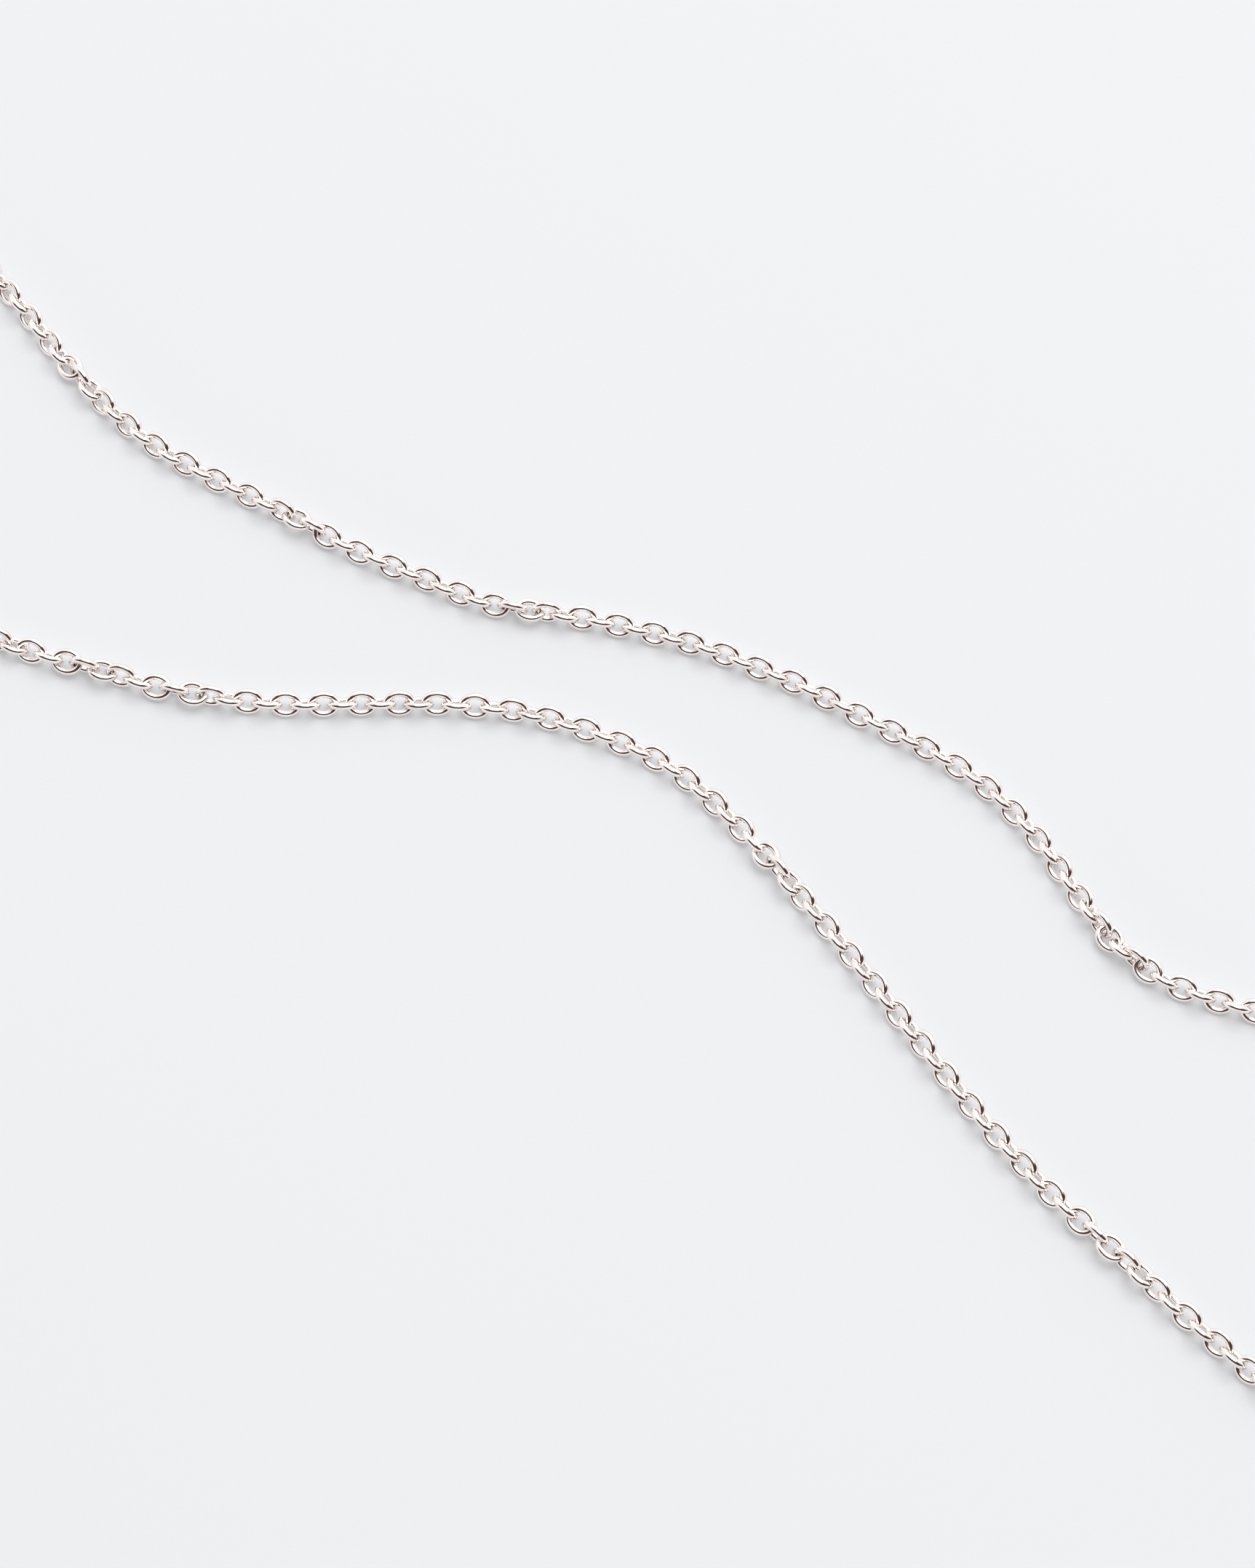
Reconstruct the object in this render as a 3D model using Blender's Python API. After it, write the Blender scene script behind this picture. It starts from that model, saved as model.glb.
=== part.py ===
"""A silver cable chain necklace with a plain clasp, laid in an open loop on a flat surface.

Units are metres and +Z is up. The surface is z = 0, and the loop's box is centred on the origin.
"""

import math

import bmesh
import bpy
import numpy as np
from mathutils import Matrix, Vector

MM = 0.001

# Links: ovals of oval wire, each hooked through the next
WIRE_THICK = 0.52 * MM  # in the plane of the link
WIRE_BROAD = 0.55 * MM  # across the plane of the link
LINK_LENGTH = 2.54 * MM
LINK_WIDTH = 2.08 * MM
LINK_PLAY = 0.05 * MM  # gap left between the wires of two hooked links
LEAN = math.radians(45)  # every link leans this far to one side, the next one to the other
END_LINKS = 18  # links modelled one by one on each side of the clasp

# Clasp: one plain bar with a link-shaped eye fixed in each end
CLASP_LENGTH = 7.0 * MM
CLASP_SIDE = 0.60 * MM  # metal beside the eyes
CLASP_COVER = 0.45 * MM  # metal above the eyes
CLASP_EDGE = 0.40 * MM
EYE_CLEARANCE = 0.20 * MM  # from the bar's end to the link hooked in the eye
CLASP_CENTRE = Vector((-86.0, 15.0)) * MM
CLASP_HEADING = math.radians(136.5)

# The plain tube that stands for the rest of the chain
SEAT_GAP = 0.30 * MM
TUBE_POINTS = 80
TUBE_BEVEL_RESOLUTION = 2

# Mesh steps
OVAL_STEPS = 14
WIRE_SIDES = 6
CLASP_END_STEPS = 10
CLASP_EDGE_STEPS = 2
ROUTE_STEP = 0.10 * MM

# Worked out from the sizes above
LONG_RADIUS = (LINK_LENGTH - WIRE_THICK) / 2  # of the oval along the middle of the wire
SHORT_RADIUS = (LINK_WIDTH - WIRE_THICK) / 2
PITCH = 2 * LONG_RADIUS - WIRE_THICK - LINK_PLAY
WIRE_LEANING = Vector((WIRE_THICK * math.sin(LEAN), WIRE_BROAD * math.cos(LEAN))).length
WIRE_ACROSS = Vector((WIRE_THICK * math.cos(LEAN), WIRE_BROAD * math.sin(LEAN))).length
CHAIN_HEIGHT = 2 * SHORT_RADIUS * math.sin(LEAN) + WIRE_LEANING
CHAIN_BREADTH = 2 * SHORT_RADIUS * math.cos(LEAN) + WIRE_ACROSS
AXIS_HEIGHT = CHAIN_HEIGHT / 2
CLASP_WIDTH = CHAIN_BREADTH + 2 * CLASP_SIDE
CLASP_HEIGHT = CHAIN_HEIGHT + CLASP_COVER
EYE_REACH = 1.5 * WIRE_THICK + LINK_PLAY + EYE_CLEARANCE  # bar's end to the middle of the eye's crown
EYE_CENTRE = CLASP_LENGTH / 2 + EYE_REACH - LONG_RADIUS

# The chain's way round from one eye to the other, in millimetres, seen from above
ROUTE = (
    # the turn that starts at the clasp
    (-94.4, 26.1),
    (-94.2, 34.9),
    (-87.4, 41.5),
    (-77.5, 43.2),
    (-68.0, 41.1),
    (-60.2, 36.8),
    # the upper stretch
    (-53.1, 31.1),
    (-47.0, 25.9),
    (-40.2, 21.8),
    (-32.6, 19.4),
    (-24.9, 17.1),
    (-17.1, 15.4),
    (-13.2, 14.65),
    (-9.2, 14.55),
    (-1.2, 15.1),
    (6.8, 14.65),
    (14.6, 13.05),
    (22.3, 10.9),
    (29.6, 7.8),
    (35.8, 2.7),
    (41.4, -2.95),
    (44.9, -4.8),
    (51.7, -5.85),
    # the far turn
    (63.5, -6.7),
    (75.5, -8.4),
    (86.2, -12.7),
    (93.3, -20.8),
    (94.7, -31.5),
    (89.4, -40.1),
    (79.0, -43.2),
    (67.0, -40.1),
    # the lower stretch
    (55.2, -34.4),
    (44.9, -28.15),
    (38.3, -23.75),
    (32.1, -18.7),
    (26.2, -13.2),
    (20.4, -7.8),
    (14.2, -2.65),
    (7.8, 2.1),
    (4.2, 3.9),
    (0.4, 4.9),
    (-7.6, 5.55),
    (-15.5, 4.25),
    (-23.2, 2.1),
    (-31.0, 0.8),
    (-39.0, 1.0),
    (-47.0, 1.6),
    # back to the clasp
    (-59.0, 3.3),
    (-70.0, 4.6),
    (-78.0, 8.2),
)


def smooth_curve(points, direction):
    """Evenly close points on the cubic spline through points, with direction as its slope at both ends."""
    points = np.array(points)
    spans = np.linalg.norm(np.diff(points, axis=0), axis=1)
    slopes = np.vstack([direction, np.diff(points, axis=0) / spans[:, None], direction])
    count = len(points)
    matrix = np.zeros((count, count))
    for index, span in enumerate(spans):
        matrix[index, index] += 2 * span
        matrix[index, index + 1] += span
        matrix[index + 1, index] += span
        matrix[index + 1, index + 1] += 2 * span
    bends = np.linalg.solve(matrix, 6 * np.diff(slopes, axis=0))
    pieces = []
    for index, span in enumerate(spans):
        steps = math.ceil(span / ROUTE_STEP)
        after = np.arange(steps)[:, None] / steps
        before = 1 - after
        pieces.append(
            before * points[index]
            + after * points[index + 1]
            + span**2 / 6 * ((before**3 - before) * bends[index] + (after**3 - after) * bends[index + 1])
        )
    pieces.append(points[-1:])
    return np.vstack(pieces)


class Route:
    """The chain's axis as a curve that is read by the distance along it, centred over the origin."""

    def __init__(self):
        heading = np.array((math.cos(CLASP_HEADING), math.sin(CLASP_HEADING)))
        clasp = np.array(CLASP_CENTRE)
        first = clasp + heading * EYE_CENTRE
        last = clasp - heading * EYE_CENTRE
        curve = smooth_curve([first, *np.array(ROUTE) * MM, last], heading)
        middle = (curve.min(axis=0) + curve.max(axis=0)) / 2
        self.clasp = clasp - middle
        self.curve = curve - middle
        steps = np.linalg.norm(np.diff(curve, axis=0), axis=1)
        self.distances = np.concatenate([[0.0], np.cumsum(steps)])
        self.length = self.distances[-1]

    def point(self, distance):
        x, y = (np.interp(distance, self.distances, self.curve[:, axis]) for axis in range(2))
        return Vector((x, y, AXIS_HEIGHT))

    def frame(self, distance):
        """A matrix whose X axis runs along the chain at this distance."""
        along = self.point(distance + ROUTE_STEP) - self.point(distance - ROUTE_STEP)
        turn = Matrix.Rotation(math.atan2(along.y, along.x), 4, "Z")
        return Matrix.Translation(self.point(distance)) @ turn


def clear_scene():
    for obj in list(bpy.data.objects):
        bpy.data.objects.remove(obj)


def polished_silver():
    material = bpy.data.materials.new("silver")
    material.use_nodes = True
    shader = material.node_tree.nodes["Principled BSDF"]
    shader.inputs["Base Color"].default_value = (0.90, 0.90, 0.89, 1)
    shader.inputs["Metallic"].default_value = 1.0
    shader.inputs["Roughness"].default_value = 0.16
    return material


def add_object(name, data, material):
    data.materials.append(material)
    obj = bpy.data.objects.new(name, data)
    bpy.context.scene.collection.objects.link(obj)
    return obj


def oval_ring_mesh(name):
    """One link, lying in the XY plane with its length along X: an oval of oval wire."""
    rings = []
    bm = bmesh.new()
    for step in range(OVAL_STEPS):
        angle = 2 * math.pi * step / OVAL_STEPS
        centre = Vector((LONG_RADIUS * math.cos(angle), SHORT_RADIUS * math.sin(angle), 0))
        outward = Vector((SHORT_RADIUS * math.cos(angle), LONG_RADIUS * math.sin(angle), 0)).normalized()
        ring = []
        for side in range(WIRE_SIDES):
            turn = 2 * math.pi * side / WIRE_SIDES
            across = Vector((0, 0, WIRE_BROAD / 2 * math.sin(turn)))
            ring.append(bm.verts.new(centre + outward * WIRE_THICK / 2 * math.cos(turn) + across))
        rings.append(ring)
    for ring, following in zip(rings, rings[1:] + rings[:1]):
        for side in range(WIRE_SIDES):
            beside = (side + 1) % WIRE_SIDES
            bm.faces.new((ring[side], following[side], following[beside], ring[beside]))
    bmesh.ops.recalc_face_normals(bm, faces=bm.faces)
    mesh = bpy.data.meshes.new(name)
    bm.to_mesh(mesh)
    bm.free()
    mesh.shade_smooth()
    return mesh


def clasp_bar_mesh(name):
    """The clasp's bar along X on z = 0: round ends in plan, rounded rims, flat top and underside."""
    radius = CLASP_WIDTH / 2
    bm = bmesh.new()
    outline = []
    for end in (1, -1):
        for step in range(CLASP_END_STEPS + 1):
            angle = math.pi * (step / CLASP_END_STEPS - end / 2)
            x = end * (CLASP_LENGTH / 2 - radius) + radius * math.cos(angle)
            outline.append(bm.verts.new((x, radius * math.sin(angle), 0)))
    base = bm.faces.new(outline)
    raised = bmesh.ops.extrude_face_region(bm, geom=[base])["geom"]
    top = [item for item in raised if isinstance(item, bmesh.types.BMVert)]
    bmesh.ops.translate(bm, vec=(0, 0, CLASP_HEIGHT), verts=top)
    rims = [edge for edge in bm.edges if edge.verts[0].co.z == edge.verts[1].co.z]
    bmesh.ops.bevel(bm, geom=rims, offset=CLASP_EDGE, segments=CLASP_EDGE_STEPS, affect="EDGES")
    bmesh.ops.recalc_face_normals(bm, faces=bm.faces)
    mesh = bpy.data.meshes.new(name)
    bm.to_mesh(mesh)
    bm.free()
    mesh.set_sharp_from_angle(angle=math.radians(40))
    return mesh


def lean_of(index):
    """The roll of a link about the chain's axis: it changes side from each link to the next."""
    return LEAN if index % 2 == 0 else -LEAN


def add_clasp(route, link_count, material):
    clasp = add_object("clasp", clasp_bar_mesh("clasp"), material)
    clasp.location = (*route.clasp, 0)
    clasp.rotation_euler.z = CLASP_HEADING
    eyes = ((0, 0.0), (link_count + 1, route.length))
    for index, distance in eyes:
        eye = add_object(f"eye_guide_{index}", oval_ring_mesh("eye"), material)
        eye.matrix_world = route.frame(distance) @ Matrix.Rotation(lean_of(index), 4, "X")
        eye.hide_render = True
        eye.display_type = "WIRE"
        union = clasp.modifiers.new(f"eye_{index}", "BOOLEAN")
        union.operation = "UNION"
        union.object = eye
    return clasp


def add_end_links(route, link_count, pitch, material):
    """The links beside the clasp, one object each: a to one side of it, b to the other."""
    mesh = oval_ring_mesh("link")
    mesh.materials.append(material)
    for place in range(1, END_LINKS + 1):
        for side, index in (("a", place), ("b", link_count + 1 - place)):
            link = bpy.data.objects.new(f"link_{side}{place:02d}", mesh)
            bpy.context.scene.collection.objects.link(link)
            link.matrix_world = route.frame(index * pitch) @ Matrix.Rotation(lean_of(index), 4, "X")


def add_chain_tube(route, pitch, material):
    """The rest of the chain as a tube of its own height, from the last link on one side to the other's."""
    curve = bpy.data.curves.new("chain", "CURVE")
    curve.dimensions = "3D"
    curve.bevel_depth = CHAIN_HEIGHT / 2
    curve.bevel_resolution = TUBE_BEVEL_RESOLUTION
    curve.use_fill_caps = True
    curve.twist_mode = "Z_UP"
    margin = END_LINKS * pitch + LINK_LENGTH / 2 + SEAT_GAP
    spline = curve.splines.new("POLY")
    spline.points.add(TUBE_POINTS - 1)
    for point, distance in zip(spline.points, np.linspace(margin, route.length - margin, TUBE_POINTS)):
        point.co = (*route.point(distance), 1)
    return add_object("chain", curve, material)


def main():
    clear_scene()
    silver = polished_silver()
    route = Route()
    spaces = math.ceil(route.length / PITCH)
    pitch = route.length / spaces
    add_clasp(route, spaces - 1, silver)
    add_end_links(route, spaces - 1, pitch, silver)
    add_chain_tube(route, pitch, silver)


main()
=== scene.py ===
"""The look of a silver cable chain necklace: smooth links, a smooth clasp, studio light and the camera.

Units are metres and +Z is up. The surface that the chain lies on is z = 0.
"""

import math

import bmesh
import bpy
import numpy as np
from mathutils import Matrix, Vector


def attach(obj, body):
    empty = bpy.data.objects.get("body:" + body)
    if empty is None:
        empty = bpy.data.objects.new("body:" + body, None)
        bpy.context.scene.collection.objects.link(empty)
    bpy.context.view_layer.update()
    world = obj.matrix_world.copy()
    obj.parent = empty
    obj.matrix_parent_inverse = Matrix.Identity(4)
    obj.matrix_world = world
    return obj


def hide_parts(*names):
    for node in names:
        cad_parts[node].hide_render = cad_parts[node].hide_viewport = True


MM = 0.001
PIXELS_HIGH = 2156  # the longer side of the picture

# Links and clasp, at the model's own sizes
WIRE_THICK = 0.52 * MM  # in the plane of the link
WIRE_BROAD = 0.55 * MM  # across the plane of the link
LINK_LENGTH = 2.54 * MM
LINK_WIDTH = 2.08 * MM
LINK_PLAY = 0.05 * MM
LEAN = math.radians(45)
END_LINKS = 18
CLASP_LENGTH = 7.0 * MM
CLASP_SIDE = 0.60 * MM
CLASP_COVER = 0.45 * MM
CLASP_EDGE = 0.40 * MM
EYE_CLEARANCE = 0.20 * MM
CLASP_CENTRE = Vector((-86.0, 15.0)) * MM
CLASP_HEADING = math.radians(136.5)
LONG_RADIUS = (LINK_LENGTH - WIRE_THICK) / 2  # of the oval along the middle of the wire
SHORT_RADIUS = (LINK_WIDTH - WIRE_THICK) / 2
PITCH = 2 * LONG_RADIUS - WIRE_THICK - LINK_PLAY
WIRE_LEANING = Vector((WIRE_THICK * math.sin(LEAN), WIRE_BROAD * math.cos(LEAN))).length
WIRE_ACROSS = Vector((WIRE_THICK * math.cos(LEAN), WIRE_BROAD * math.sin(LEAN))).length
CHAIN_HEIGHT = 2 * SHORT_RADIUS * math.sin(LEAN) + WIRE_LEANING
CHAIN_BREADTH = 2 * SHORT_RADIUS * math.cos(LEAN) + WIRE_ACROSS
CLASP_WIDTH = CHAIN_BREADTH + 2 * CLASP_SIDE
CLASP_HEIGHT = CHAIN_HEIGHT + CLASP_COVER
EYE_REACH = 1.5 * WIRE_THICK + LINK_PLAY + EYE_CLEARANCE
EYE_CENTRE = CLASP_LENGTH / 2 + EYE_REACH - LONG_RADIUS

# Fineness of the smooth meshes
OVAL_STEPS = 48
WIRE_SIDES = 20
CLASP_END_STEPS = 32
CLASP_EDGE_STEPS = 8
SHARP_ANGLE = math.radians(50)  # steeper edges of the clasp stay sharp
ROUTE_STEP = 0.10 * MM
CHAIN_PIECES = 3

# How the links lie between the clasp's own: small irregularities of a chain put down by hand
MOST_SAG = 0.30 * MM  # how far a link's axis may be below its neighbours' axes
ROLL_SPREAD = math.radians(3.0)
SIDE_SPREAD = 0.02 * MM
SEED = 7
SETTLE_ROUNDS = 3
EASE_ROUNDS = 60
EASE_POINTS = 40
EASE_GAP = 0.545 * MM  # between the middles of two wires

# Camera
CAMERA_ELEVATION = math.radians(61.76)
CAMERA_ROLL = math.radians(12.638)
CAMERA_DISTANCE = 297.27 * MM
CAMERA_AIM = Vector((2.020, 1.483, 0.77)) * MM
FOCAL_PIXELS = 5300.75
SENSOR = 36.0
CAMERA_CLIP = (0.01, 20.0)

# Silver: its tones, from the best polish to the rubbed crowns, whose darker tone is partly wear and partly
# painted shade where the next link sits, and how rough and marked it is
SILVER_BRIGHT = (0.96, 0.905, 0.875, 1)
SILVER_SOFT = (0.84, 0.770, 0.735, 1)
SILVER_WORN_AND_SHADED = (0.72, 0.67, 0.635, 1)
POLISH = (0.03, 0.08)  # roughness where the polish is best and where it is dullest
RUB_ROUGHNESS = 0.12
RUB_AND_SHADE_SHARPNESS = 8  # how closely the rubbed place, darkened as wear and as painted shade, keeps to the ends of a link
CLOUD_SCALE = 900.0
CLOUD_FOR_TONE = (0.45, 0.75)  # the cloud's values between which the tone changes
CLOUD_FOR_POLISH = (0.30, 0.80)
GRAIN_SCALE = 9000.0
LINE_SCALE = 2500.0
LINE_TURN = (0.4, 0.7, 0.5)
LINE_STRETCH = (1.0, 14.0, 1.0)
LINE_SHARE = 0.6  # of the hairlines' depth beside the grain's
MARK_STRENGTH = 0.12
MARK_DEPTH = 0.002 * MM

# Floor: its two shades, the glow that keeps the chain's shade faint, and its side
FLOOR_COLOUR = (0.400, 0.404, 0.410, 1)
FLOOR_COLOUR_TOO = (0.396, 0.400, 0.406, 1)
FLOOR_GLOW = (0.324, 0.327, 0.335, 1)
FLOOR_ROUGHNESS = 0.9
FLOOR_CLOUD_SCALE = 20.0
FLOOR_SIDE = 4.0

# Studio: a white dome, a tall dark strip on the camera's side, and a soft key light above and a little behind
DOME = (1.06, 1.07, 1.08, 1)
BACKDROP = (0.863, 0.871, 0.888, 1)
STRIP_DARK = (0.080, 0.046, 0.040, 1)
STRIP_FRONT = Vector((0.10, -0.95, 0)).normalized()
STRIP_EDGES = (0.22, 0.36, 0.87, 0.95)  # heights, as sines of the elevation, where it sets in and ends
STRIP_REACH = (-0.10, 0.30)  # cosines of the angle from its middle, where it ends and is full
KEY_TOWARDS = Vector((0.112, 0.356, 0.927)).normalized()
KEY_DISTANCE = 1.0
KEY_SIDE = 0.90
KEY_POWER = 9.0

# The chain's way round from one eye of the clasp to the other, in millimetres, seen from above
ROUTE = (
    # the turn that starts at the clasp
    (-94.4, 26.1),
    (-94.2, 34.9),
    (-87.4, 41.5),
    (-77.5, 43.2),
    (-68.0, 41.1),
    (-60.2, 36.8),
    # the upper stretch
    (-53.1, 31.1),
    (-47.0, 25.9),
    (-40.2, 21.8),
    (-32.6, 19.4),
    (-24.9, 17.1),
    (-17.1, 15.4),
    (-13.2, 14.65),
    (-9.2, 14.55),
    (-1.2, 15.1),
    (6.8, 14.65),
    (14.6, 13.05),
    (22.3, 10.9),
    (29.6, 7.8),
    (35.8, 2.7),
    (41.4, -2.95),
    (44.9, -4.8),
    (51.7, -5.85),
    # the far turn
    (63.5, -6.7),
    (75.5, -8.4),
    (86.2, -12.7),
    (93.3, -20.8),
    (94.7, -31.5),
    (89.4, -40.1),
    (79.0, -43.2),
    (67.0, -40.1),
    # the lower stretch
    (55.2, -34.4),
    (44.9, -28.15),
    (38.3, -23.75),
    (32.1, -18.7),
    (26.2, -13.2),
    (20.4, -7.8),
    (14.2, -2.65),
    (7.8, 2.1),
    (4.2, 3.9),
    (0.4, 4.9),
    (-7.6, 5.55),
    (-15.5, 4.25),
    (-23.2, 2.1),
    (-31.0, 0.8),
    (-39.0, 1.0),
    (-47.0, 1.6),
    # back to the clasp
    (-59.0, 3.3),
    (-70.0, 4.6),
    (-78.0, 8.2),
)

# Where the links lie on the way: link number, distance along the route in mm, twist of the chain in degrees,
# shift to the left of the route in mm
LAYING = (
    # the upper stretch
    (44, 64.06, 0, 0.0),
    (48, 69.91, 0, 0.0),
    (50, 72.56, 0, -0.07),
    (51, 74.06, -52, 0.0),
    (52, 75.56, -82, 0.0),
    (53, 77.06, -90, 0.0),
    (59, 85.71, -90, 0.07),
    (64, 92.96, -90, 0.07),
    (65, 94.41, -68, 0.15),
    (66, 95.91, -55, 0.15),
    (67, 97.26, -37, 0.10),
    (68, 98.66, 0, 0.07),
    (70, 101.56, 0, -0.10),
    (76, 110.21, 0, 0.08),
    (78, 113.11, 0, -0.12),
    (79, 114.46, -30, -0.02),
    (80, 115.86, -45, 0.12),
    (81, 117.26, -60, 0.12),
    (82, 118.66, -90, 0.12),
    (83, 120.01, -90, 0.20),
    (85, 122.96, -90, 0.10),
    (93, 134.51, -90, 0.07),
    (95, 137.41, -90, 0.16),
    (98, 141.76, -90, 0.0),
    (101, 146.16, -90, 0.0),
    (105, 151.96, -90, 0.20),
    (109, 157.66, -90, 0.18),
    (113, 163.36, -90, 0.04),
    (115, 166.21, -90, 0.10),
    (116, 167.56, -90, 0.10),
    (117, 168.85, -73, 0.0),
    (118, 170.26, -27, -0.10),
    (119, 171.45, 0, -0.14),
    (120, 172.76, 41, 0.05),
    (121, 174.06, 90, 0.05),
    (125, 179.86, 90, 0.05),
    # the lower stretch
    (200, 289.03, 90, 0.0),
    (203, 293.43, 90, -0.10),
    (204, 294.93, 68, -0.20),
    (205, 296.43, 70, -0.15),
    (206, 297.93, 60, -0.10),
    (207, 299.43, 48, -0.05),
    (208, 300.93, 41, -0.05),
    (210, 303.93, 0, -0.07),
    (221, 320.18, 0, -0.10),
    (225, 326.13, 0, 0.0),
    (231, 334.88, 0, 0.0),
    (232, 336.38, -20, 0.0),
    (233, 337.88, -36, -0.05),
    (234, 339.38, -67, -0.15),
    (235, 340.88, -90, -0.10),
    (240, 348.13, -90, -0.14),
    (244, 353.93, -90, -0.08),
    (254, 368.63, -90, -0.02),
    (257, 373.03, -90, -0.10),
    (265, 384.68, -90, -0.13),
    (266, 386.13, -120, -0.05),
    (267, 387.53, -149, -0.05),
    (268, 388.98, -152, 0.0),
    (269, 390.38, -163, 0.06),
    (270, 391.83, -180, 0.0),
    (271, 393.23, -195, 0.0),
    (272, 394.68, -218, 0.0),
    (273, 396.13, -234, 0.0),
    (274, 397.58, -250, 0.0),
    (275, 399.03, -270, 0.0),
    (276, 400.48, -270, -0.05),
)
END_TWIST = -360


def smooth_curve(points, direction):
    """Evenly close points on the cubic spline through points, with direction as its slope at both ends."""
    points = np.array(points)
    spans = np.linalg.norm(np.diff(points, axis=0), axis=1)
    slopes = np.vstack([direction, np.diff(points, axis=0) / spans[:, None], direction])
    count = len(points)
    matrix = np.zeros((count, count))
    for index, span in enumerate(spans):
        matrix[index, index] += 2 * span
        matrix[index, index + 1] += span
        matrix[index + 1, index] += span
        matrix[index + 1, index + 1] += 2 * span
    bends = np.linalg.solve(matrix, 6 * np.diff(slopes, axis=0))
    pieces = []
    for index, span in enumerate(spans):
        steps = math.ceil(span / ROUTE_STEP)
        after = np.arange(steps)[:, None] / steps
        before = 1 - after
        pieces.append(
            before * points[index]
            + after * points[index + 1]
            + span**2 / 6 * ((before**3 - before) * bends[index] + (after**3 - after) * bends[index + 1])
        )
    pieces.append(points[-1:])
    return np.vstack(pieces)


class Route:
    """The chain's axis seen from above, read by the distance along it, centred over the origin."""

    def __init__(self):
        heading = np.array((math.cos(CLASP_HEADING), math.sin(CLASP_HEADING)))
        clasp = np.array(CLASP_CENTRE)
        first = clasp + heading * EYE_CENTRE
        last = clasp - heading * EYE_CENTRE
        curve = smooth_curve([first, *np.array(ROUTE) * MM, last], heading)
        middle = (curve.min(axis=0) + curve.max(axis=0)) / 2
        self.clasp = clasp - middle
        self.curve = curve - middle
        steps = np.linalg.norm(np.diff(curve, axis=0), axis=1)
        self.distances = np.concatenate([[0.0], np.cumsum(steps)])
        self.length = self.distances[-1]

    def points(self, distances):
        columns = [np.interp(distances, self.distances, self.curve[:, axis]) for axis in range(2)]
        return np.stack(columns, axis=-1)


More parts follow.
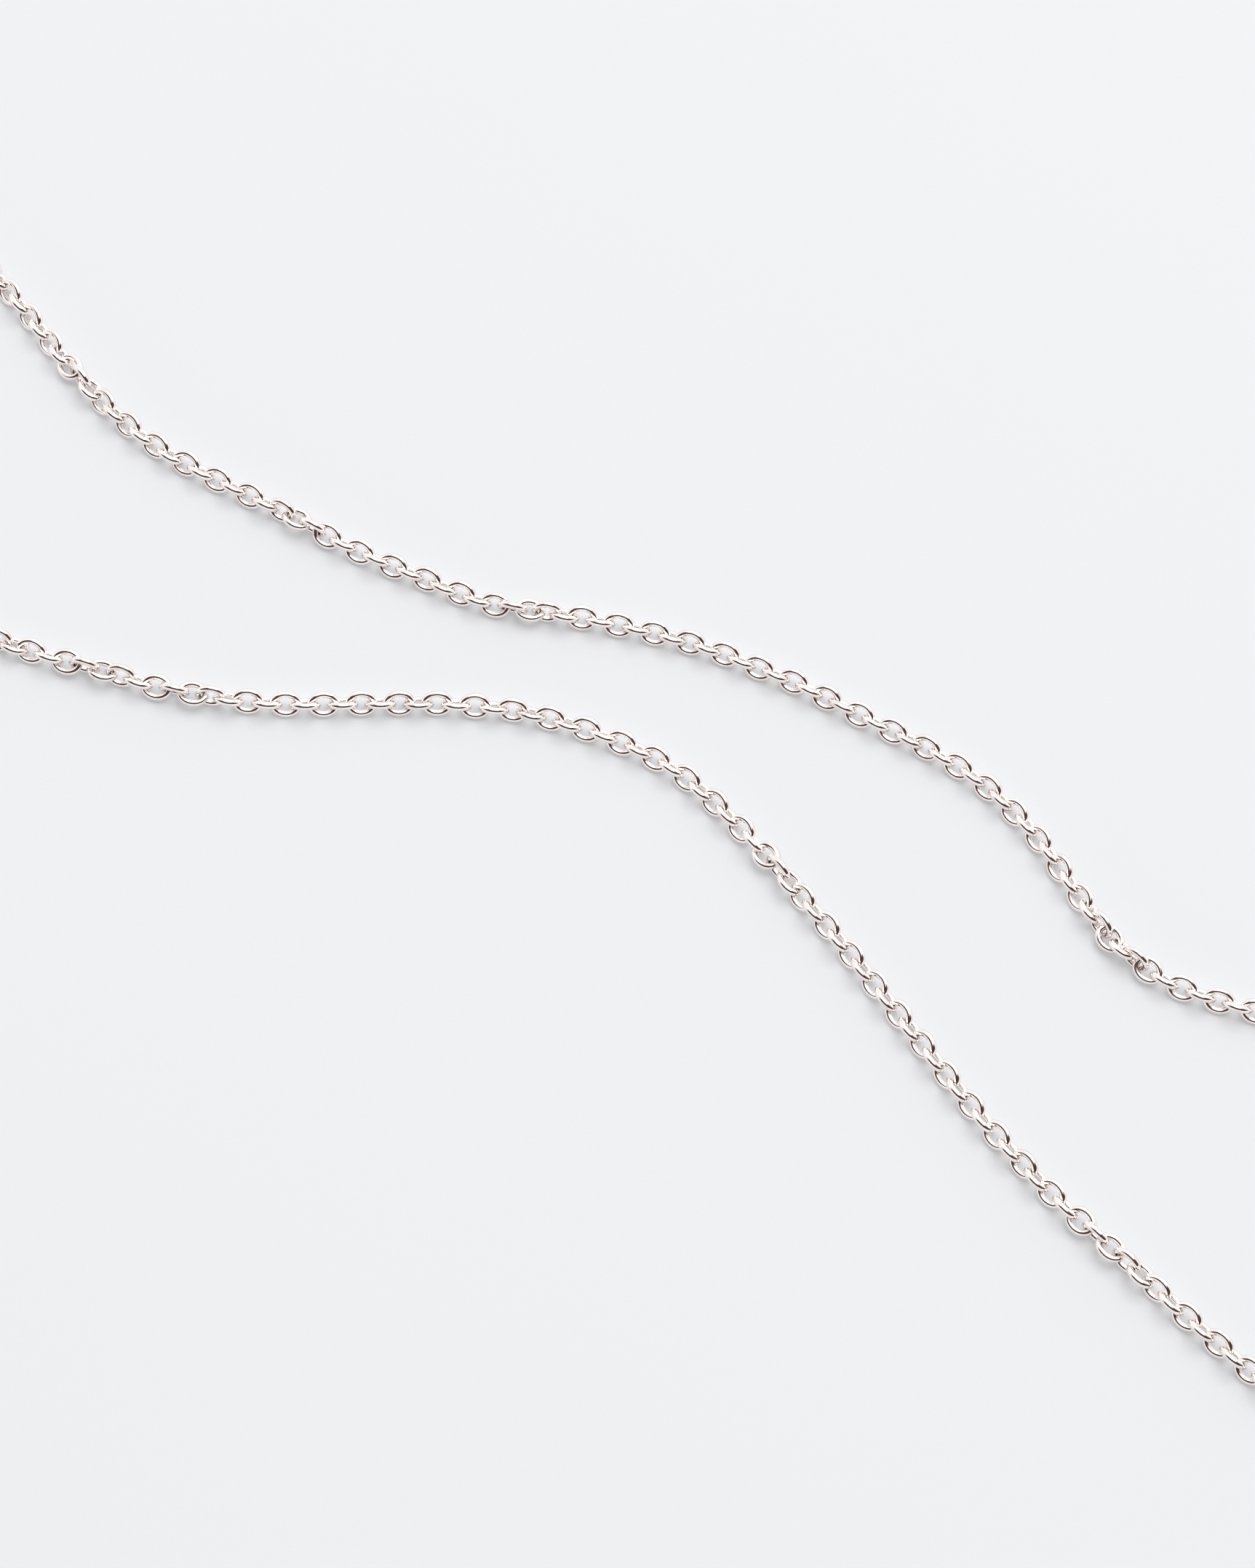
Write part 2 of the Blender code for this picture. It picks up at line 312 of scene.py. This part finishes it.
class Links:
    """Where each link lies. Number 0 and the last are the clasp's eyes, the rest the chain's links."""

    def __init__(self, route):
        spaces = math.ceil(route.length / PITCH)
        pitch = route.length / spaces
        self.last = spaces
        numbers = np.arange(spaces + 1)
        first_ends = [(n, n * pitch / MM, 0, 0) for n in (0, END_LINKS)]
        last_ends = [(n, n * pitch / MM, END_TWIST, 0) for n in (spaces - END_LINKS, spaces)]
        known, distances, twists, shifts = zip(*first_ends, *LAYING, *last_ends)
        self.distances = np.interp(numbers, known, distances) * MM
        lean = np.where(numbers % 2 == 0, LEAN, -LEAN)
        self.rolls = lean + np.radians(np.interp(numbers, known, twists))
        loose = (numbers > END_LINKS) & (numbers < spaces - END_LINKS)
        chance = np.random.default_rng(SEED)
        self.rolls += loose * chance.normal(0, ROLL_SPREAD, spaces + 1)
        self.sides = np.interp(numbers, known, shifts) * MM
        self.sides += loose * chance.normal(0, SIDE_SPREAD, spaces + 1)
        self.tones = chance.uniform(0, 1, spaces + 1)
        self.route = route
        self.heights = self.settled(self.rolls)
        self.frames = np.array([self.frame(number) for number in numbers])
        across = self.frames[:, :, 1]
        middle = np.column_stack([route.points(self.distances), self.heights])
        self.places = middle + across * self.sides[:, None]
        self.ease(loose[:, None])

    def settled(self, rolls):
        """The height of each link's axis: its wire touches the surface, or its neighbours carry it."""
        heights = self.lowest(rolls)
        for _ in range(SETTLE_ROUNDS):
            beside = np.maximum(np.roll(heights, 1), np.roll(heights, -1))
            heights = np.maximum(heights, beside - MOST_SAG)
        return heights

    def lowest(self, rolls):
        """The height of each link's axis when its wire touches the surface."""
        upright = np.abs(np.sin(rolls))
        wire_reach = np.hypot(WIRE_THICK * upright, WIRE_BROAD * np.cos(rolls)) / 2
        return SHORT_RADIUS * upright + wire_reach

    def frame(self, number):
        """Directions along the chain, across it and up from it, as columns."""
        before, after = self.route.points(self.distances[number] + np.array((-1, 1)) * ROUTE_STEP)
        beside = max(number - 1, 0), min(number + 1, self.last)
        climb = np.diff(self.heights[list(beside)])[0] / np.diff(self.distances[list(beside)])[0]
        if number <= END_LINKS or number >= self.last - END_LINKS:
            climb = 0.0
        heading = (after - before) / np.linalg.norm(after - before)
        along = Vector((*heading, climb)).normalized()
        across = Vector((-heading[1], heading[0], 0))
        return np.column_stack([along, across, along.cross(across)])

    def ease(self, loose):
        """Shift and roll the loose links a little, so that no wire cuts into the next one."""
        angles = 2 * np.pi * np.arange(EASE_POINTS) / EASE_POINTS
        along, across = LONG_RADIUS * np.cos(angles), SHORT_RADIUS * np.sin(angles)
        for _ in range(EASE_ROUNDS):
            turned = np.cos(self.rolls)[:, None], np.sin(self.rolls)[:, None]
            length = np.broadcast_to(along, (self.last + 1, EASE_POINTS))
            local = np.stack([length, across * turned[0], across * turned[1]], -1)
            arms = np.einsum("nij,nkj->nki", self.frames, local)
            middles = self.places[:, None] + arms
            gaps = middles[1:, None, :] - middles[:-1, :, None]
            distances = np.linalg.norm(gaps, axis=-1)
            short = np.clip(EASE_GAP - distances, 0, None)
            pushes = gaps * (short / distances)[..., None]
            parts = 1 / np.maximum((short > 0).sum(axis=(1, 2)), 1)[:, None]
            moves = np.zeros_like(self.places)
            turns = np.zeros(self.last + 1)
            for own, sign, axis in ((slice(1, None), 1, 1), (slice(None, -1), -1, 2)):
                force = sign * pushes.sum(axis=axis)
                moves[own] += force.sum(axis=1) * parts
                torque = np.cross(arms[own], force).sum(axis=1) * parts
                turns[own] += np.einsum("ni,ni->n", torque, self.frames[own][:, :, 0])
            self.places += moves * loose
            self.rolls += (turns / SHORT_RADIUS**2) * loose[:, 0]
            floor = self.lowest(self.rolls)
            self.places[:, 2] = np.where(loose[:, 0], np.maximum(self.places[:, 2], floor), self.places[:, 2])

    def matrix(self, number):
        """The place of one link, whose X axis runs along the chain."""
        turn = Matrix(self.frames[number].tolist()).to_4x4()
        return Matrix.Translation(self.places[number]) @ turn @ Matrix.Rotation(self.rolls[number], 4, "X")


def oval_ring():
    """One link along X: its points, its four-sided faces, and how much the next link rubs and shades each
    point, for wear and painted shade.
    """
    points = []
    rub_and_shade_values = []
    for step in range(OVAL_STEPS):
        angle = 2 * math.pi * step / OVAL_STEPS
        centre = Vector((LONG_RADIUS * math.cos(angle), SHORT_RADIUS * math.sin(angle), 0))
        outward = Vector((SHORT_RADIUS * math.cos(angle), LONG_RADIUS * math.sin(angle), 0)).normalized()
        for side in range(WIRE_SIDES):
            turn = 2 * math.pi * side / WIRE_SIDES
            across = Vector((0, 0, WIRE_BROAD / 2 * math.sin(turn)))
            points.append(centre + outward * WIRE_THICK / 2 * math.cos(turn) + across)
            # painted shade and wear: strongest on the inner side of the wire at the link's ends, where the
            # next link passes through
            rub_and_shade_values.append(max(0, -math.cos(turn)) * math.cos(angle) ** RUB_AND_SHADE_SHARPNESS)
    stations = len(points) // WIRE_SIDES
    faces = []
    for station in range(stations):
        following = (station + 1) % stations
        for side in range(WIRE_SIDES):
            beside = (side + 1) % WIRE_SIDES
            corners = ((station, side), (following, side), (following, beside), (station, beside))
            faces.append([row * WIRE_SIDES + column for row, column in corners])
    return np.array(points), np.array(faces), np.array(rub_and_shade_values)


def link_piece(name, numbers, links, material):
    """One object that holds the links with these numbers."""
    ring, ring_faces, ring_rub_and_shade = oval_ring()
    points = []
    faces = []
    for count, number in enumerate(numbers):
        matrix = np.array(links.matrix(number))
        points.append(ring @ matrix[:3, :3].T + matrix[:3, 3])
        faces.append(ring_faces + count * len(ring))
    mesh = bpy.data.meshes.new(name)
    mesh.from_pydata(np.vstack(points).tolist(), [], np.vstack(faces).tolist())
    mesh.shade_smooth()
    tones = np.repeat(links.tones[list(numbers)], len(ring))
    add_values(mesh, "rub_and_shade", np.tile(ring_rub_and_shade, len(numbers)))
    add_values(mesh, "tone", tones)
    return add_piece(name, mesh, material)


def add_values(mesh, name, values):
    layer = mesh.attributes.new(name, "FLOAT", "POINT")
    layer.data.foreach_set("value", values.astype(np.float32))


def add_piece(name, mesh, material):
    mesh.materials.append(material)
    piece = bpy.data.objects.new(name, mesh)
    bpy.context.scene.collection.objects.link(piece)
    return piece


def clasp_bar():
    """The clasp's bar along X on z = 0: round ends in plan, rounded rims, flat top and underside."""
    radius = CLASP_WIDTH / 2
    bm = bmesh.new()
    outline = []
    for end in (1, -1):
        for step in range(CLASP_END_STEPS + 1):
            angle = math.pi * (step / CLASP_END_STEPS - end / 2)
            x = end * (CLASP_LENGTH / 2 - radius) + radius * math.cos(angle)
            outline.append(bm.verts.new((x, radius * math.sin(angle), 0)))
    base = bm.faces.new(outline)
    raised = bmesh.ops.extrude_face_region(bm, geom=[base])["geom"]
    top = [item for item in raised if isinstance(item, bmesh.types.BMVert)]
    bmesh.ops.translate(bm, vec=(0, 0, CLASP_HEIGHT), verts=top)
    rims = [edge for edge in bm.edges if edge.verts[0].co.z == edge.verts[1].co.z]
    bmesh.ops.bevel(bm, geom=rims, offset=CLASP_EDGE, segments=CLASP_EDGE_STEPS, affect="EDGES")
    bmesh.ops.recalc_face_normals(bm, faces=bm.faces)
    mesh = bpy.data.meshes.new("clasp_bar")
    bm.to_mesh(mesh)
    bm.free()
    return mesh


def clasp_piece(links, material):
    """The clasp's bar and its two eyes, joined into one body."""
    clasp = add_piece("clasp_smooth", clasp_bar(), material)
    turn = Matrix.Rotation(CLASP_HEADING, 4, "Z")
    clasp.data.transform(Matrix.Translation((*links.route.clasp, 0)) @ turn)
    eyes = []
    for number in (0, links.last):
        eye = link_piece(f"eye_{number}", [number], links, material)
        union = clasp.modifiers.new(eye.name, "BOOLEAN")
        union.operation = "UNION"
        union.object = eye
        eyes.append(eye)
    graph = bpy.context.evaluated_depsgraph_get()
    joined = bpy.data.meshes.new_from_object(clasp.evaluated_get(graph))
    clasp.modifiers.clear()
    clasp.data = joined
    for eye in eyes:
        bpy.data.objects.remove(eye)
    joined.set_sharp_from_angle(angle=SHARP_ANGLE)
    return clasp


class Nodes:
    """Short calls for building a node tree."""

    def __init__(self, tree):
        self.tree = tree
        self.tree.nodes.clear()

    def add(self, kind, settings=None, inputs=None):
        node = self.tree.nodes.new(kind)
        for name, value in (settings or {}).items():
            setattr(node, name, value)
        for name, value in (inputs or {}).items():
            if isinstance(value, bpy.types.NodeSocket):
                self.tree.links.new(value, node.inputs[name])
            else:
                node.inputs[name].default_value = value
        return node

    def math(self, operation, first, second):
        return self.add("ShaderNodeMath", {"operation": operation}, {0: first, 1: second}).outputs[0]

    def span(self, value, low, high, to_low=0.0, to_high=1.0):
        """Value taken smoothly from low..high to to_low..to_high."""
        inputs = {"Value": value, "From Min": low, "From Max": high, "To Min": to_low, "To Max": to_high}
        return self.add("ShaderNodeMapRange", {"interpolation_type": "SMOOTHSTEP"}, inputs).outputs["Result"]

    def mix(self, factor, first, second):
        node = self.add("ShaderNodeMix", {"data_type": "RGBA"}, {"Factor": factor})
        for socket, value in ((node.inputs[6], first), (node.inputs[7], second)):
            if isinstance(value, bpy.types.NodeSocket):
                self.tree.links.new(value, socket)
            else:
                socket.default_value = value
        return node.outputs[2]


def polished_silver():
    """Polished silver: faint hairlines, an uneven polish, a tone for each link, and crowns darkened partly by
    wear and partly as painted shade where the next link sits.
    """
    material = bpy.data.materials.new("polished_silver")
    material.use_nodes = True
    nodes = Nodes(material.node_tree)
    place = nodes.add("ShaderNodeTexCoord").outputs["Object"]
    rub_and_shade = nodes.add("ShaderNodeAttribute", {"attribute_name": "rub_and_shade"}).outputs["Fac"]
    tone = nodes.add("ShaderNodeAttribute", {"attribute_name": "tone"}).outputs["Fac"]
    cloud = nodes.add("ShaderNodeTexNoise", None, {"Vector": place, "Scale": CLOUD_SCALE, "Detail": 3.0})
    grain = nodes.add("ShaderNodeTexNoise", None, {"Vector": place, "Scale": GRAIN_SCALE, "Detail": 4.0})
    turned = {"Vector": place, "Rotation": LINE_TURN, "Scale": LINE_STRETCH}
    drawn_out = nodes.add("ShaderNodeMapping", None, turned).outputs["Vector"]
    lines = nodes.add("ShaderNodeTexNoise", None, {"Vector": drawn_out, "Scale": LINE_SCALE, "Detail": 2.0})
    dull = nodes.span(cloud.outputs["Fac"], *CLOUD_FOR_TONE)
    uneven = nodes.math("MULTIPLY", nodes.math("ADD", dull, tone), 0.5)
    colour = nodes.mix(uneven, SILVER_BRIGHT, SILVER_SOFT)
    # painted shade: the crowns where the next link sits are darkened, partly as wear and partly standing in
    # for the shade there
    worn_and_shaded = nodes.mix(rub_and_shade, colour, SILVER_WORN_AND_SHADED)
    polish = nodes.span(cloud.outputs["Fac"], *CLOUD_FOR_POLISH, *POLISH)
    roughness = nodes.math("ADD", polish, nodes.math("MULTIPLY", rub_and_shade, RUB_ROUGHNESS))
    hairlines = nodes.math("MULTIPLY", lines.outputs["Fac"], LINE_SHARE)
    marks = nodes.math("ADD", grain.outputs["Fac"], hairlines)
    relief = {"Height": marks, "Strength": MARK_STRENGTH, "Distance": MARK_DEPTH}
    bump = nodes.add("ShaderNodeBump", None, relief).outputs["Normal"]
    shader = nodes.add(
        "ShaderNodeBsdfPrincipled",
        None,
        {
            "Base Color": worn_and_shaded,
            "Metallic": 1.0,
            "Roughness": roughness,
            "Normal": bump,
        },
    )
    nodes.add("ShaderNodeOutputMaterial", None, {"Surface": shader.outputs["BSDF"]})
    return material


def pale_card():
    """The plain floor: smooth pale card with a faint unevenness."""
    material = bpy.data.materials.new("pale_card")
    material.use_nodes = True
    nodes = Nodes(material.node_tree)
    place = nodes.add("ShaderNodeTexCoord").outputs["Object"]
    cloud = nodes.add("ShaderNodeTexNoise", None, {"Vector": place, "Scale": FLOOR_CLOUD_SCALE})
    colour = nodes.mix(cloud.outputs["Fac"], FLOOR_COLOUR, FLOOR_COLOUR_TOO)
    shader = nodes.add("ShaderNodeBsdfPrincipled", None, {"Base Color": colour, "Roughness": FLOOR_ROUGHNESS})
    shader.inputs["Specular IOR Level"].default_value = 0.0
    shader.inputs["Emission Color"].default_value = FLOOR_GLOW
    shader.inputs["Emission Strength"].default_value = 1.0
    nodes.add("ShaderNodeOutputMaterial", None, {"Surface": shader.outputs["BSDF"]})
    return material


def studio_world():
    world = bpy.data.worlds.new("studio")
    bpy.context.scene.world = world
    world.use_nodes = True
    nodes = Nodes(world.node_tree)
    direction = nodes.add("ShaderNodeTexCoord").outputs["Generated"]
    height = nodes.add("ShaderNodeSeparateXYZ", None, {"Vector": direction}).outputs["Z"]
    level = nodes.add("ShaderNodeVectorMath", {"operation": "MULTIPLY"}, {0: direction, 1: (1, 1, 0)})
    level = nodes.add("ShaderNodeVectorMath", {"operation": "NORMALIZE"}, {0: level.outputs[0]})
    facing = nodes.add(
        "ShaderNodeVectorMath", {"operation": "DOT_PRODUCT"}, {0: level.outputs[0], 1: STRIP_FRONT}
    ).outputs["Value"]
    begin, full, fade, end = STRIP_EDGES
    rising = nodes.span(height, begin, full)
    falling = nodes.span(height, fade, end, 1.0, 0.0)
    ahead = nodes.span(facing, *STRIP_REACH)
    strip = nodes.math("MULTIPLY", nodes.math("MULTIPLY", rising, falling), ahead)
    colour = nodes.mix(strip, DOME, STRIP_DARK)
    seen = nodes.add("ShaderNodeLightPath").outputs["Is Camera Ray"]
    shown = nodes.mix(seen, colour, BACKDROP)
    background = nodes.add("ShaderNodeBackground", None, {"Color": shown, "Strength": 1.0})
    nodes.add("ShaderNodeOutputWorld", None, {"Surface": background.outputs["Background"]})


def add_key_light():
    data = bpy.data.lights.new("key", "AREA")
    data.shape = "SQUARE"
    data.size = KEY_SIDE
    data.energy = KEY_POWER
    light = bpy.data.objects.new("key", data)
    bpy.context.scene.collection.objects.link(light)
    light.location = KEY_TOWARDS * KEY_DISTANCE
    light.rotation_euler = KEY_TOWARDS.to_track_quat("Z", "Y").to_euler()
    light.visible_camera = False


def add_floor():
    half = FLOOR_SIDE / 2
    corners = [(-half, -half, 0), (half, -half, 0), (half, half, 0), (-half, half, 0)]
    mesh = bpy.data.meshes.new("floor")
    mesh.from_pydata(corners, [], [(0, 1, 2, 3)])
    floor = add_piece("floor", mesh, pale_card())


def add_camera():
    data = bpy.data.cameras.new("camera")
    data.sensor_width = SENSOR
    data.lens = FOCAL_PIXELS * SENSOR / PIXELS_HIGH
    data.clip_start, data.clip_end = CAMERA_CLIP
    camera = bpy.data.objects.new("camera", data)
    bpy.context.scene.collection.objects.link(camera)
    towards = Vector((0, math.cos(CAMERA_ELEVATION), -math.sin(CAMERA_ELEVATION)))
    upward = Vector((0, math.sin(CAMERA_ELEVATION), math.cos(CAMERA_ELEVATION)))
    right = Vector((1, 0, 0))
    axis_x = math.cos(CAMERA_ROLL) * right + math.sin(CAMERA_ROLL) * upward
    axis_y = -math.sin(CAMERA_ROLL) * right + math.cos(CAMERA_ROLL) * upward
    turn = Matrix((axis_x, axis_y, -towards)).transposed().to_4x4()
    camera.matrix_world = Matrix.Translation(CAMERA_AIM - towards * CAMERA_DISTANCE) @ turn
    bpy.context.scene.camera = camera


def dress(piece, *nodes):
    """The piece stands for these nodes of the model and moves with its one body."""
    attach(piece, "root")
    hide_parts(*nodes)


def add_necklace():
    links = Links(Route())
    silver = polished_silver()
    dress(clasp_piece(links, silver), "clasp")
    own = range(1, END_LINKS + 1)
    first = link_piece("links_a", list(own), links, silver)
    dress(first, *[f"link_a{place:02d}" for place in own])
    last = link_piece("links_b", [links.last - place for place in own], links, silver)
    dress(last, *[f"link_b{place:02d}" for place in own])
    between = np.arange(END_LINKS + 1, links.last - END_LINKS)
    for count, numbers in enumerate(np.array_split(between, CHAIN_PIECES), start=1):
        dress(link_piece(f"chain_links_{count}", numbers.tolist(), links, silver), "chain")


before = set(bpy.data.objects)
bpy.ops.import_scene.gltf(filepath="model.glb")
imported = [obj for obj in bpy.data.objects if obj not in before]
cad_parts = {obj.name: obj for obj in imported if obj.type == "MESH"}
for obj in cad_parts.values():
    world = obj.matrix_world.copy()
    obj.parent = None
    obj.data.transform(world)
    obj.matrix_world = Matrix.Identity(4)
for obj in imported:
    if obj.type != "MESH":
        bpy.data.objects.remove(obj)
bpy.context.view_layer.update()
add_camera()
add_floor()
studio_world()
add_key_light()
add_necklace()
bpy.context.scene.view_settings.view_transform = "Standard"
